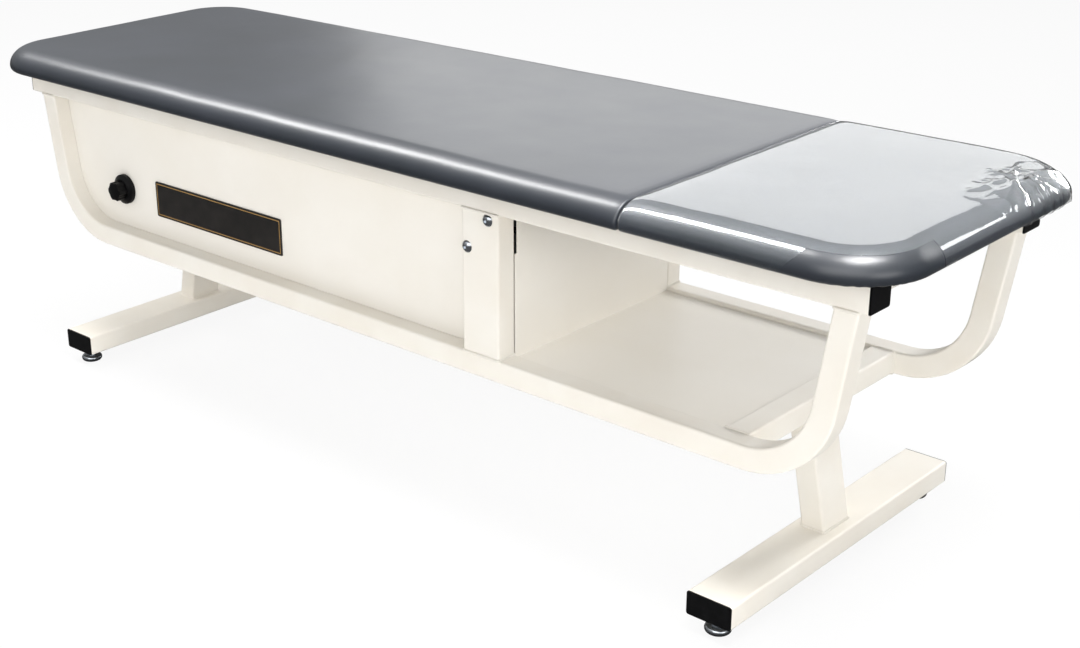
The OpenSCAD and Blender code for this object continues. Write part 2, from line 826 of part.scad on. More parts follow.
module track_tube(side) {
    l = hanger_x[1] - hanger_x[0] + track;
    color("#C9CCCF")
    translate([(hanger_x[0] + hanger_x[1]) / 2, side * track_y, track_top - track / 2]) tube_x(l, track, track);
}

module track_hangers() {
    low = hanger_z - track / 2;
    color("#C9CCCF")
    for (x = hanger_x) {
        translate([x, 0, hanger_z]) tube_y(rail_gap_w, track, track);
        for (side = [-1, 1]) translate([x - hanger_t / 2, side * track_y - track / 2, track_top])
            cube([hanger_t, track, low - track_top]);
    }
}

// Outline of a carriage side plate in x and z
module idler_outline() {
    h = carriage_l / 2;
    polygon([[cheek_corner - h, cheek_low], [h - cheek_corner, cheek_low], [h, cheek_low + cheek_corner],
        [h, cheek_high - cheek_corner], [h - cheek_corner, cheek_high], [cheek_corner - h, cheek_high],
        [-h, cheek_high - cheek_corner], [-h, cheek_low + cheek_corner]]);
}

module carriage_frame() {
    inside = carriage_w - 2 * plate_wall;
    color("#C4A24A")
    translate([carriage_x, 0, 0]) difference() {
        union() {
            for (y = [plate_wall - carriage_y, carriage_y])
                translate([0, y, 0]) rotate([90, 0, 0]) linear_extrude(plate_wall) idler_outline();
            translate([-bridge_l / 2, -inside / 2, cheek_low]) cube([bridge_l, inside, plate_wall]);
            for (x = [-carriage_l / 2, carriage_l / 2 - plate_wall])
                translate([x, -inside / 2, bridge_low]) cube([plate_wall, inside, bridge_high - bridge_low]);
        }
        for (s = [-1, 1]) {
            translate([s * axle_pitch / 2, 0, axle_z]) rotate([90, 0, 0])
                cylinder(d = axle_d, h = carriage_w + 2 * cut, center = true);
            translate([s * wheel_pitch / 2, 0, wheel_z]) rotate([90, 0, 0])
                cylinder(d = wheel_bolt_d, h = carriage_w + 2 * cut, center = true);
        }
    }
}

module wheel_axles() {
    tip = wheel_y + wheel_w + seat - carriage_y;
    color(zinc)
    for (end = [-1, 1], side = [0, 1])
        translate([carriage_x + end * wheel_pitch / 2, 0, wheel_z]) mirror([0, side, 0])
            translate([0, carriage_y, 0]) rotate([-90, 0, 0]) {
                translate([0, 0, -plate_wall]) cylinder(d = wheel_bolt_d, h = plate_wall + tip + wheel_collar / 2);
                translate([0, 0, -plate_wall - wheel_collar]) cylinder(d = wheel_collar_d, h = wheel_collar);
                cylinder(d = wheel_collar_d, h = wheel_collar);
                translate([0, 0, tip]) cylinder(d = wheel_collar_d, h = wheel_collar / 2);
            }
}

module roller_axles() {
    inside = carriage_y - plate_wall;
    roller_end = spine_gap / 2 + roller_w + seat;
    color(zinc)
    for (end = [-1, 1])
        translate([carriage_x + end * axle_pitch / 2, 0, axle_z]) rotate([90, 0, 0]) {
            cylinder(d = axle_d, h = carriage_w, center = true);
            cylinder(d = spacer_d, h = spine_gap - 2 * seat, center = true);
            for (s = [0, 1]) mirror([0, 0, s]) {
                translate([0, 0, roller_end]) cylinder(d = spacer_d, h = inside - roller_end);
                translate([0, 0, carriage_y]) hex(axle_nut_af, axle_nut_h);
            }
        }
}

module wheel(end, side) {
    color("#D8D4CB")
    translate([carriage_x + end * wheel_pitch / 2, side * track_y, wheel_z]) rotate([90, 0, 0])
        rotate_extrude() difference() {
            union() {
                translate([0, -wheel_w / 2 + wheel_shoulder]) square([wheel_d / 2, wheel_w - 2 * wheel_shoulder]);
                translate([0, -wheel_w / 2]) square([wheel_d / 2 - wheel_shoulder, wheel_w]);
                for (s = [-1, 1]) translate([wheel_d / 2 - wheel_shoulder, s * (wheel_w / 2 - wheel_shoulder)])
                    circle(wheel_shoulder);
            }
            translate([-wheel_d, -wheel_w]) square([wheel_d + wheel_bolt_d / 2 + fit, 2 * wheel_w]);
        }
}

module roller(end, side) {
    edge = roller_w / 2 - roller_shoulder;
    y = (spine_gap + roller_w) / 2;
    color(rubber_black)
    translate([carriage_x + end * axle_pitch / 2, side * y, axle_z]) rotate([90, 0, 0])
        rotate_extrude() difference() {
            union() {
                translate([0, -edge]) square([roller_d / 2, 2 * edge]);
                translate([0, -roller_w / 2]) square([roller_d / 2 - roller_shoulder, roller_w]);
                for (s = [-1, 1]) translate([roller_d / 2 - roller_shoulder, s * edge]) circle(roller_shoulder);
            }
            translate([-roller_d, -roller_w]) square([roller_d + axle_d / 2 + fit, 2 * roller_w]);
            for (s = [-1, 1]) translate([spacer_d / 2 + roller_core, s * roller_w / 2])
                square([roller_shoulder / 2, 2 * roller_core], center = true);
        }
}

// Flat board from x = 0 to l, square at x = l and rounded at x = 0
module board_outline(l, w, r) {
    translate([r, -w / 2]) square([l - r, w]);
    translate([0, r - w / 2]) square([l, w - 2 * r]);
    for (s = [-1, 1]) translate([r, s * (w / 2 - r)]) circle(r);
}

module main_outline() {
    slot_l = 2 * carriage_travel + axle_pitch + roller_d + 2 * slot_margin;
    difference() {
        translate([board_inset - top_l / 2, 0])
            board_outline(top_l / 2 + seam_x - seam_gap / 2 - board_end - board_inset,
                top_w - 2 * board_inset, pad_corner - board_inset);
        translate([carriage_x, 0]) round_rect(slot_l, carriage_w + 2 * slot_side, slot_margin);
    }
}

module foot_outline() {
    translate([top_l / 2 - board_inset, 0]) mirror([1, 0])
        board_outline(top_l / 2 - board_inset - seam_x - seam_gap / 2 - board_end,
            top_w - 2 * board_inset, pad_corner - board_inset);
}

module main_board() {
    color("#C9A877") translate([0, 0, rail_top]) linear_extrude(board_t) main_outline();
}

module foot_board() {
    color("#C9A877") translate([0, 0, rail_top]) linear_extrude(board_t) foot_outline();
}

// Profile of a padded edge grown by g: [draw-in of the outer sides, draw-in of the seam side, height]
function pad_profile(g, hw, l) = let (roll = pad_roll + g, tuck = pad_tuck + g, h = pad_h + g,
    reach = crown_reach_share * (min(hw, l / 2) - roll)) concat(
    [for (a = [90 : -30 : 0]) let (d = tuck * (1 - cos(a))) [d, d * seam_share, tuck - g - tuck * sin(a)]],
    [for (a = [15 : 15 : 90]) let (d = roll * (1 - cos(a)))
        [d, d * seam_share, tuck - g + (h - tuck + g) * sin(a)]],
    [for (s = crown_shares)
        [roll + s * reach, roll * seam_share + s * reach, h + pad_crown * sin(90 * s)]]);

// One ring of a pad from x = 0 at the seam to x = l at the rolled end
function pad_ring(l, hw, r, p) =
    let (h = hw - p[0], ra = max(r - p[0], inner_corner), rb = seam_corner,
        corners = [[l - p[0] - ra, h - ra, ra, 0], [p[1] + rb, h - rb, rb, 90],
            [p[1] + rb, rb - h, rb, 180], [l - p[0] - ra, ra - h, ra, 270]])
    [for (c = corners, i = [0 : corner_steps]) let (a = c[3] + 90 * i / corner_steps)
        [c[0] + c[2] * cos(a), c[1] + c[2] * sin(a), p[2]]];

// Padded form grown by g on every face, from the seam at x = 0 to the rolled end at x = l
module pad(l, hw, g) {
    rings = [for (p = pad_profile(g, hw + g, l + 2 * g)) pad_ring(l + 2 * g, hw + g, pad_corner + g, p)];
    m = len(rings[0]);
    n = len(rings);
    points = [for (ring = rings, q = ring) q];
    walls = [for (i = [0 : n - 2], j = [0 : m - 1]) let (k = (j + 1) % m, a = i * m, b = a + m)
        each [[a + j, b + j, b + k], [a + j, b + k, a + k]]];
    low = [for (j = [0 : m - 1]) j];
    high = [for (j = [m - 1 : -1 : 0]) (n - 1) * m + j];
    translate([-g, 0, 0]) polyhedron(points, concat([low], walls, [high]));
}

module main_cushion() {
    l = top_l / 2 + seam_x - seam_gap / 2;
    color(vinyl_grey)
    difference() {
        translate([seam_x - seam_gap / 2, 0, rail_top]) mirror([1, 0, 0]) pad(l, top_w / 2, 0);
        translate([0, 0, rail_top - cut]) linear_extrude(board_t + cut) main_outline();
    }
}

module foot_pad(g) {
    translate([seam_x + seam_gap / 2, 0, rail_top])
        pad(top_l / 2 - cover_off - seam_x - seam_gap / 2, top_w / 2 - cover_off, g);
}

module foot_cushion() {
    color(vinyl_grey)
    difference() {
        foot_pad(0);
        translate([0, 0, rail_top - cut]) linear_extrude(board_t + cut) foot_outline();
    }
}

module foot_cover() {
    flat_z = rail_top + pad_h - pad_tuck / 2;
    color("#D5D8DA", 0.5)
    difference() {
        foot_pad(cover_off);
        foot_pad(cover_clear);
        translate([seam_x - cut, -top_w, rail_top - cut]) cube([top_l, 2 * top_w, cut + cover_hem]);
        translate([top_l / 2, -top_w / 2 + cover_cut_w, rail_top]) rotate([90, 0, 0])
            linear_extrude(cover_cut_w + cut) polygon([[cut, -cut], [-cover_cut_l, -cut],
                [-cover_cut_l + cover_cut_lean, flat_z - rail_top], [cut, flat_z - rail_top]]);
    }
}

top_rail(-1);  // top_rail_front
top_rail(1);  // top_rail_rear
rail_plugs();
upper_cross_tubes();
side_tube(-1);  // side_tube_front
side_tube(1);  // side_tube_rear
post(-1);  // post_front
post(1);  // post_rear
crossbar(-1);  // crossbar_head
crossbar(1);  // crossbar_foot
column(-1);  // column_head
column(1);  // column_foot
foot_bar(-1);  // foot_bar_head
foot_bar(1);  // foot_bar_foot
foot_bar_plugs();
glide(-1, -1);  // glide_head_front
glide(-1, 1);  // glide_head_rear
glide(1, -1);  // glide_foot_front
glide(1, 1);  // glide_foot_rear
side_panel(-1);  // side_panel_front
side_panel(1);  // side_panel_rear
head_panel();
bottom_pan();
partition_panel();
shelf_panel();
name_plate();
post_screws();
control_knob();
timer_switch();
cord_gland();
control_box();
motor_bracket();
gearbox();
drive_motor();
output_shaft();
drive_pulley();
idler_pulley();
idler_bracket();
idler_axle();
drive_belt();
belt_clamp();
track_tube(-1);  // track_front
track_tube(1);  // track_rear
track_hangers();
carriage_frame();
wheel_axles();
roller_axles();
wheel(-1, -1);  // wheel_head_front
wheel(-1, 1);  // wheel_head_rear
wheel(1, -1);  // wheel_foot_front
wheel(1, 1);  // wheel_foot_rear
roller(-1, -1);  // roller_head_front
roller(-1, 1);  // roller_head_rear
roller(1, -1);  // roller_foot_front
roller(1, 1);  // roller_foot_rear
main_board();
foot_board();
main_cushion();
foot_cushion();
foot_cover();
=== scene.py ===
# Looks of the roller massage table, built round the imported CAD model. Metres, Z up,
# X from the head end (-) to the foot end (+), Y from the front (-) to the rear (+).
import math

import bmesh
import bpy
from mathutils import Matrix, Vector, noise


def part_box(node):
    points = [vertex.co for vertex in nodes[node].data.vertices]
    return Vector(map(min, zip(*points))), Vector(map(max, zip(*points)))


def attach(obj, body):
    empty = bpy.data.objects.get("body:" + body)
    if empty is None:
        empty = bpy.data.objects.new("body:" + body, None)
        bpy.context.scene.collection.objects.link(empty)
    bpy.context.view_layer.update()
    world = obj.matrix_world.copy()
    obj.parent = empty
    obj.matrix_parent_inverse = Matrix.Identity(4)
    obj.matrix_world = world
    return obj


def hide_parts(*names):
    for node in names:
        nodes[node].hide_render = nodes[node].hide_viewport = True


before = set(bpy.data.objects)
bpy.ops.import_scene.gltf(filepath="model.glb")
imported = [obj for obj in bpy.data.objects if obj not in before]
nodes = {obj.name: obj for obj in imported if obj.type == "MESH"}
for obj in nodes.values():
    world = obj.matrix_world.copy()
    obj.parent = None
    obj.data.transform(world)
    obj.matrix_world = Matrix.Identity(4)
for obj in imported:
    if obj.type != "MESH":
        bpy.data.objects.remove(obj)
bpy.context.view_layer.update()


# Camera: a three-quarter view from the front at the foot end, a little above the top.
# The place, the turn and the focal length were fitted to the tubes and the padded top.
camera_place = (1.922966, -2.047955, 1.314147)
camera_yaw, camera_pitch, camera_roll = 44.2216, 21.7879, -1.2139
focal_px, centre_px, frame_px = 1685.593, 433.46, 1080
sensor_mm = 36

camera = bpy.data.objects.new("camera", bpy.data.cameras.new("camera"))
bpy.context.collection.objects.link(camera)
camera.matrix_world = (
    Matrix.Translation(camera_place)
    @ Matrix.Rotation(math.radians(camera_yaw), 4, "Z")
    @ Matrix.Rotation(math.radians(90 - camera_pitch), 4, "X")
    @ Matrix.Rotation(math.radians(camera_roll), 4, "Z")
)
camera.data.sensor_width = sensor_mm
camera.data.lens = focal_px * sensor_mm / frame_px
camera.data.shift_x = (frame_px / 2 - centre_px) / frame_px
bpy.context.scene.camera = camera
bpy.context.scene.view_settings.view_transform = "Standard"


# Studio: pale paper under a sky that is white to the eye, with softboxes before, above, beside
# and behind the table. In gloss the paper and the lower sky are darker, as a studio's are.
def linear(colour):
    """The linear RGBA that a shader takes for an sRGB hex colour."""
    channels = [int(colour[i : i + 2], 16) / 255 for i in (1, 3, 5)]
    return [c / 12.92 if c <= 0.04045 else ((c + 0.055) / 1.055) ** 2.4 for c in channels] + [1]


def add_node(tree, kind, inputs=None, **settings):
    """Adds a shader node. inputs maps a socket's name or number to its value or to an output."""
    made = tree.nodes.new("ShaderNode" + kind)
    for name, value in settings.items():
        setattr(made, name, value)
    for name, value in (inputs or {}).items():
        if isinstance(value, bpy.types.NodeSocket):
            tree.links.new(value, made.inputs[name])
        else:
            made.inputs[name].default_value = value
    return made


def new_finish(name, colour, roughness, **sockets):
    """A material on the Principled shader, with its tree, the shader and the Object coordinates."""
    material = bpy.data.materials.new(name)
    material.use_nodes = True
    tree = material.node_tree
    shader = tree.nodes["Principled BSDF"]
    shader.inputs["Base Color"].default_value = linear(colour)
    shader.inputs["Roughness"].default_value = roughness
    for socket, value in sockets.items():
        shader.inputs[socket.replace("_", " ")].default_value = value
    return material, tree, shader, add_node(tree, "TexCoord").outputs["Object"]


# Most of what a noise texture gives lies between these two
noise_low, noise_high = 0.3, 0.7


def coloured(tree, shader, mask, low, high, start=noise_low, end=noise_high):
    """The shader's colour goes from low to high as mask goes from start to end. Returns it."""
    ramp = add_node(tree, "ValToRGB", {"Fac": mask})
    for stop, position, colour in zip(ramp.color_ramp.elements, (start, end), (low, high)):
        stop.position = position
        stop.color = linear(colour)
    tree.links.new(ramp.outputs["Color"], shader.inputs["Base Color"])
    return ramp.outputs["Color"]


def polished(tree, shader, mask, smooth, rough):
    """The shader's roughness goes from smooth to rough with the mask."""
    ends = {"From Min": noise_low, "From Max": noise_high, "To Min": smooth, "To Max": rough}
    span = add_node(tree, "MapRange", {"Value": mask, **ends})
    tree.links.new(span.outputs["Result"], shader.inputs["Roughness"])


def bumped(tree, shader, height, distance, strength):
    """Relief of the given height, in metres."""
    relief = add_node(tree, "Bump", {"Height": height, "Distance": distance, "Strength": strength})
    tree.links.new(relief.outputs["Normal"], shader.inputs["Normal"])


sky = bpy.data.worlds.new("sky")
bpy.context.scene.world = sky
sky.use_nodes = True
tree = sky.node_tree
seen = add_node(tree, "LightPath")
heading = add_node(tree, "TexCoord").outputs["Generated"]
upward = add_node(tree, "SeparateXYZ", {"Vector": heading}).outputs["Z"]
# In gloss, the sky is a white ceiling over the darker walls of a studio
gloss_levels = {"From Min": 0.25, "From Max": 0.8, "To Min": 0.24, "To Max": 0.9}
walls = add_node(tree, "MapRange", {"Value": upward, **gloss_levels}, interpolation_type="SMOOTHSTEP")
# As light, it is faint overhead and stronger low down, where it comes in under the top
light_levels = {"From Min": 0.3, "From Max": 0.8, "To Min": 0.9, "To Max": 0.3}
ambient = add_node(tree, "MapRange", {"Value": upward, **light_levels}, interpolation_type="SMOOTHSTEP")
# Seen straight or through clear vinyl it is plain white. What has met a glossy or a matt
# surface on its way is told by the depths, which also hold for light under the clear cover.
gloss_depth, matt_depth = seen.outputs["Glossy Depth"], seen.outputs["Diffuse Depth"]
in_gloss = {"Value": gloss_depth, "To Min": 1.0, "To Max": walls.outputs["Result"]}
mirrored = add_node(tree, "MapRange", in_gloss)
as_light = {"Value": matt_depth, "To Min": mirrored.outputs["Result"], "To Max": ambient.outputs["Result"]}
level = add_node(tree, "MapRange", as_light)
background = tree.nodes["Background"]
background.inputs["Color"].default_value = (1, 1, 1, 1)
tree.links.new(level.outputs["Result"], background.inputs["Strength"])

floor_half = 25
floor_mesh = bmesh.new()
bmesh.ops.create_grid(floor_mesh, x_segments=1, y_segments=1, size=floor_half)
floor = bpy.data.objects.new("floor", bpy.data.meshes.new("floor"))
floor_mesh.to_mesh(floor.data)
floor_mesh.free()
bpy.context.collection.objects.link(floor)
pale_paper, tree, shader, _ = new_finish("pale_studio_paper", "#DADADA", 0.9)
# To the eye the paper is most of the way to pure white, and keeps the table's soft shadow.
# In gloss most of it is taken away, as a studio floor is dark away from the lamps.
white_share, dark_share = 0.9, 0.9
path = add_node(tree, "LightPath")
to_eye = path.outputs["Is Camera Ray"]
pure = add_node(tree, "Emission", {"Color": (1, 1, 1, 1), "Strength": to_eye})
lifted = add_node(tree, "Math", {0: to_eye, 1: white_share}, operation="MULTIPLY")
mirrored = add_node(tree, "Math", {0: path.outputs["Glossy Depth"], 1: 1.0}, operation="MINIMUM")
pure_shares = {0: mirrored.outputs[0], 1: dark_share, 2: lifted.outputs[0]}
swapped = add_node(tree, "Math", pure_shares, operation="MULTIPLY_ADD")
paper = add_node(tree, "MixShader", {0: swapped.outputs[0], 1: shader.outputs[0], 2: pure.outputs[0]})
tree.links.new(paper.outputs[0], tree.nodes["Material Output"].inputs["Surface"])
floor.data.materials.append(pale_paper)

# Each softbox: its place, the point it faces, its width, height, power in watts and spread in
# degrees. The low one has a grid before it, so that it reaches the shelf and little else.
softboxes = {
    "front_softbox": ((2.4, -4.6, 3.3), (0.0, 0.0, 0.4), 6.0, 3.6, 108, 180),
    "top_strip": ((-1.63, -0.32, 2.7), (-1.63, -0.32, 0.0), 2.95, 0.45, 78, 180),
    "end_softbox": ((1.25, -0.25, 2.6), (1.0, -0.25, 0.5), 0.9, 0.7, 60, 180),
    "foot_softbox": ((3.9, -1.0, 1.4), (0.6, 0.0, 0.3), 1.9, 1.1, 17, 180),
    "rear_softbox": ((-1.55, 3.5, 1.85), (0.2, 0.0, 0.6), 3.5, 1.3, 17.5, 180),
    "low_softbox": ((0.8, 3.0, 0.95), (0.72, 0.0, 0.3), 0.9, 0.5, 5.5, 40),
    "glint_strip": ((2.3, 2.9, 1.95), (1.0, 0.0, 0.6), 0.35, 0.6, 3, 180),
}
for name, (stand, target, width, height, power, spread) in softboxes.items():
    lamp = bpy.data.objects.new(name, bpy.data.lights.new(name, "AREA"))
    lamp.data.shape = "RECTANGLE"
    lamp.data.size, lamp.data.size_y = width, height
    lamp.data.energy = power
    lamp.data.spread = math.radians(spread)
    lamp.location = stand
    lamp.rotation_euler = (Vector(target) - Vector(stand)).to_track_quat("-Z", "Y").to_euler()
    bpy.context.collection.objects.link(lamp)


# Frame: welded mild steel tube, square rails and bent side tubes on two legs, sprayed with
# powder and baked. The coat is cream, semi-gloss, with a faint orange peel and rounded edges.
def dress(finish, *names):
    """The CAD nodes of these names take this finish."""
    for name in names:
        piece = nodes[name]
        if not piece.material_slots:
            piece.data.materials.append(finish)
        for slot in piece.material_slots:
            slot.material = finish


powder_coat, tree, shader, place = new_finish(
    "cream_powder_coat", "#EFEAE0", 0.36, Coat_Weight=0.25, Coat_Roughness=0.12
)
# Cloudy differences of a few centimetres that a hand-sprayed coat has, in colour and gloss
cloud = add_node(tree, "TexNoise", {"Vector": place, "Scale": 9, "Detail": 3})
coloured(tree, shader, cloud.outputs["Fac"], "#EDE7DC", "#F1EDE4")
polished(tree, shader, cloud.outputs["Fac"], 0.32, 0.42)
# Orange peel 3 mm across, a little coarser than the real 1.5 mm so that it shows
peel = add_node(tree, "TexNoise", {"Vector": place, "Scale": 330, "Detail": 1})
bumped(tree, shader, peel.outputs["Fac"], 0.00006, 0.35)
dress(
    powder_coat, "top_rail_front", "top_rail_rear", "upper_cross_tubes", "side_tube_front", "side_tube_rear",
    "post_front", "post_rear", "crossbar_head", "crossbar_foot", "column_head", "column_foot",
    "foot_bar_head", "foot_bar_foot",
)


# Weld beads: the coated fillets that run round each tube where it stands on another.
# They are laid as small overlapping ripples, so the coat over them looks finely scalloped.
bead_r, bead_corner = 0.0023, 0.004
ripple_pitch, ripple_depth, points_per_ripple = 0.0026, 0.0004, 3
uneven_share, uneven_scale = 0.12, 60
column_deep, column_wide, column_reach = 0.040, 0.070, 0.035
upright_slope = math.radians(8.5)


def shown_piece(name, mesh, finish):
    """A smooth piece of this mesh that rides on the table."""
    piece = bpy.data.objects.new(name, mesh)
    bpy.context.collection.objects.link(piece)
    mesh.materials.clear()
    mesh.materials.append(finish)
    for face in mesh.polygons:
        face.use_smooth = True
    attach(piece, "table")
    return piece


def bead_line(width, length):
    """Points at even steps round a rectangle with rounded corners, in its own plane."""
    outline = bmesh.new()
    bmesh.ops.create_grid(outline, x_segments=1, y_segments=1, size=0.5)
    bmesh.ops.scale(outline, vec=(width, length, 1), verts=outline.verts)
    bmesh.ops.bevel(
        outline, geom=outline.verts[:], offset=bead_corner, offset_type="OFFSET", segments=4,
        profile=0.5, affect="VERTICES", material=-1,
    )
    outline.faces.ensure_lookup_table()
    corners = [v.co.copy() for v in outline.faces[0].verts]
    outline.free()
    points = []
    for start, stop in zip(corners, corners[1:] + corners[:1]):
        steps = max(1, round((stop - start).length / (ripple_pitch / points_per_ripple)))
        points += [start.lerp(stop, i / steps) for i in range(steps)]
    return points


def weld_bead(name, centre, width, length, along=(0, 1, 0)):
    """A closed bead round a tube: width is measured along X, and length along the direction given."""
    points = bead_line(width, length)
    curve = bpy.data.curves.new(name, "CURVE")
    curve.dimensions = "3D"
    curve.bevel_depth, curve.bevel_resolution = bead_r, 2
    spline = curve.splines.new("POLY")
    spline.points.add(len(points) - 1)
    spline.use_cyclic_u = True
    run = 0
    for i, (laid, point) in enumerate(zip(spline.points, points)):
        run += (point - points[i - 1]).length
        laid.co = (*(Vector(centre) + Vector((point.x, 0, 0)) + Vector(along) * point.y), 1)
        ripple = ripple_depth / bead_r * math.sin(2 * math.pi * run / ripple_pitch)
        laid.radius = 1 + ripple + uneven_share * noise.noise(point * uneven_scale)
    drawn = bpy.data.objects.new("drawn_bead", curve)
    bead = bpy.data.meshes.new_from_object(drawn)
    bpy.data.objects.remove(drawn)
    shown_piece(name, bead, powder_coat)


bar_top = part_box("foot_bar_foot")[1].z
rail_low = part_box("top_rail_front")[0].z
post_low, post_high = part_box("post_front")
side_low, side_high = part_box("side_tube_front")
crossbar_low, crossbar_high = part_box("crossbar_foot")
post, crossbar = post_high - post_low, crossbar_high - crossbar_low
post_x, tube_y = (post_low.x + post_high.x) / 2, (post_low.y + post_high.y) / 2
crossbar_x, crossbar_z = (crossbar_low.x + crossbar_high.x) / 2, (crossbar_low.z + crossbar_high.z) / 2
frame_x, frame_reach = (side_low.x + side_high.x) / 2, (side_high.x - side_low.x) / 2
column_cut = column_deep / math.cos(math.atan(column_reach / (crossbar_low.z - bar_top)))
upright_cut = post.y / math.cos(upright_slope)
for end, way in (("head", -1), ("foot", 1)):
    column_foot = (way * (crossbar_x + column_reach), 0, bar_top)
    weld_bead(f"weld_{end}_column_low", column_foot, column_cut, column_wide)
    column_top = (way * crossbar_x, 0, crossbar_low.z)
    weld_bead(f"weld_{end}_column_high", column_top, column_cut, column_wide)
for side, way in (("front", 1), ("rear", -1)):
    weld_bead(f"weld_{side}_post_low", (post_x, way * tube_y, post_low.z), post.x, post.y)
    weld_bead(f"weld_{side}_post_high", (post_x, way * tube_y, rail_low), post.x, post.y)
    for end, turn in (("head", -1), ("foot", 1)):
        upright_x = frame_x + turn * (frame_reach - upright_cut / 2)
        weld_bead(f"weld_{side}_{end}_upright", (upright_x, way * tube_y, rail_low), upright_cut, post.y)
        crossbar_end = (turn * crossbar_x, way * crossbar_low.y, crossbar_z)
        weld_bead(f"weld_{side}_{end}_crossbar", crossbar_end, crossbar.x, crossbar.z, along=(0, 0, 1))


# Sheet steel: folded panels that close the roller bay and floor the storage bay, 1.5 mm,
# coated like the frame but smoother, since a flat sheet takes the powder more evenly.
sheet_coat, tree, shader, place = new_finish(
    "cream_coated_sheet", "#F0EBE1", 0.42, Coat_Weight=0.15, Coat_Roughness=0.2
)
cloud = add_node(tree, "TexNoise", {"Vector": place, "Scale": 5, "Detail": 4})
coloured(tree, shader, cloud.outputs["Fac"], "#EEE9DF", "#F2EEE6")
polished(tree, shader, cloud.outputs["Fac"], 0.38, 0.48)
peel = add_node(tree, "TexNoise", {"Vector": place, "Scale": 260, "Detail": 1})
bumped(tree, shader, peel.outputs["Fac"], 0.00005, 0.25)
dress(
    sheet_coat, "side_panel_front", "side_panel_rear", "head_panel", "bottom_pan", "partition_panel",
    "shelf_panel",
)


# Tube plugs, the lead's gland, the timer knob and both pulleys: moulded black polyethylene and
# nylon. They have a fine spark-eroded grain and scuffs that are a little greyer.
black_plastic, tree, shader, place = new_finish(
    "moulded_black_plastic", "#08080A", 0.42, Specular_IOR_Level=0.25
)
grain = add_node(tree, "TexNoise", {"Vector": place, "Scale": 900, "Detail": 2})
scuff = add_node(tree, "TexNoise", {"Vector": place, "Scale": 55, "Detail": 6, "Roughness": 0.7})
coloured(tree, shader, scuff.outputs["Fac"], "#070708", "#121214", start=0.45, end=0.75)
polished(tree, shader, scuff.outputs["Fac"], 0.34, 0.52)
bumped(tree, shader, grain.outputs["Fac"], 0.00005, 0.3)
dress(
    black_plastic, "rail_plugs", "foot_bar_plugs", "cord_gland", "control_knob", "drive_pulley",
    "idler_pulley",
)


# Levelling glides and post screws: steel, pressed or turned, then plated with bright nickel
# and chrome. They mirror the room, with a slight bluish tone and a few dull smears.
bright_plate, tree, shader, place = new_finish("nickel_chrome_plate", "#C4C9CF", 0.16, Metallic=1.0)
smear = add_node(tree, "TexNoise", {"Vector": place, "Scale": 70, "Detail": 4})
polished(tree, shader, smear.outputs["Fac"], 0.1, 0.28)
dress(
    bright_plate, "glide_head_front", "glide_head_rear", "glide_foot_front", "glide_foot_rear",
    "post_screws",
)


# Name plate: a bare 2 mm plate, enamelled satin black, with one thin gilt line run round it.
# It is fixed to the side panel with adhesive.
plate_low, plate_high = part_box("name_plate")
gilt_inset, gilt_half = 0.0042, 0.0007
plate_enamel, tree, shader, place = new_finish("black_plate_enamel", "#211F1E", 0.34)
speck = add_node(tree, "TexNoise", {"Vector": place, "Scale": 40, "Detail": 5})
enamel = coloured(tree, shader, speck.outputs["Fac"], "#1D1B1A", "#292624")
# The gilt line lies where the way to the nearest edge is its inset
apart = add_node(tree, "SeparateXYZ", {"Vector": place})
edges = []
for axis, low, high in (("X", plate_low.x, plate_high.x), ("Z", plate_low.z, plate_high.z)):
    off = add_node(tree, "Math", {0: apart.outputs[axis], 1: (low + high) / 2}, operation="SUBTRACT")
    off = add_node(tree, "Math", {0: off.outputs[0]}, operation="ABSOLUTE")
    edge = add_node(tree, "Math", {0: (high - low) / 2, 1: off.outputs[0]}, operation="SUBTRACT")
    edges.append(edge.outputs[0])
inset = add_node(tree, "Math", {0: edges[0], 1: edges[1]}, operation="MINIMUM")
from_line = add_node(tree, "Math", {0: inset.outputs[0], 1: gilt_inset}, operation="SUBTRACT")
from_line = add_node(tree, "Math", {0: from_line.outputs[0]}, operation="ABSOLUTE")
gilt = add_node(tree, "Math", {0: from_line.outputs[0], 1: gilt_half}, operation="LESS_THAN")
mixed = add_node(tree, "MixRGB", {"Fac": gilt.outputs[0], "Color1": enamel, "Color2": linear("#B08A4E")})
tree.links.new(mixed.outputs["Color"], shader.inputs["Base Color"])
dress(plate_enamel, "name_plate")


# Bright zinc and yellow zinc parts of the drive: pressed brackets, axles, the belt clamp and
# the carriage, plated after forming, with the soft cloudy spangle of a barrel plating.
zinc_plate, tree, shader, place = new_finish("bright_zinc_plate", "#B7BCC1", 0.35, Metallic=1.0)
spangle = add_node(tree, "TexNoise", {"Vector": place, "Scale": 60, "Detail": 5})
coloured(tree, shader, spangle.outputs["Fac"], "#A9AFB5", "#C3C7CB")
polished(tree, shader, spangle.outputs["Fac"], 0.28, 0.45)
dress(
    zinc_plate, "timer_switch", "motor_bracket", "output_shaft", "idler_bracket", "idler_axle", "belt_clamp",
    "wheel_axles", "roller_axles", "track_front", "track_rear", "track_hangers",
)

yellow_zinc, tree, shader, place = new_finish("yellow_zinc_plate", "#C2A55A", 0.36, Metallic=1.0)
spangle = add_node(tree, "TexNoise", {"Vector": place, "Scale": 45, "Detail": 5})
coloured(tree, shader, spangle.outputs["Fac"], "#B8954C", "#C9B475")
polished(tree, shader, spangle.outputs["Fac"], 0.28, 0.45)
dress(yellow_zinc, "carriage_frame")


